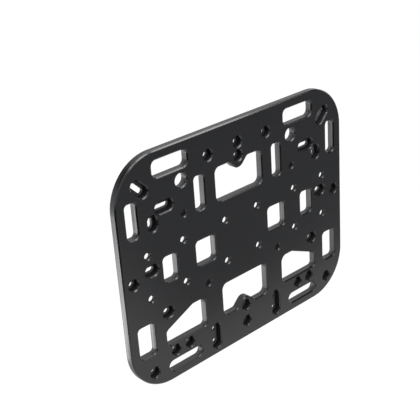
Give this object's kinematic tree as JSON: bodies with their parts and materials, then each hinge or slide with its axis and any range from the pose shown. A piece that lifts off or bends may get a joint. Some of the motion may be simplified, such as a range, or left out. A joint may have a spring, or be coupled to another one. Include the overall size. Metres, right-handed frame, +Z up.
{
  "type": "luggage rack platform",
  "caption": "Flat black plastic rack platform with large rounded corners, strap slots, lightening windows, recessed bolt seats and squares of holder holes.",
  "frame": {"origin": "centre of the back face, which lies against the carrier", "axes": "+X to the right seen from the front, +Y out of the back, +Z up, front towards -Y"},
  "size_m": [0.4, 0.01, 0.313],
  "materials": {
    "black_sheet": "satin black sheet, milled"
  },
  "bodies": {
    "root": {"platform_plate": "black_sheet"}
  },
  "joints": []
}
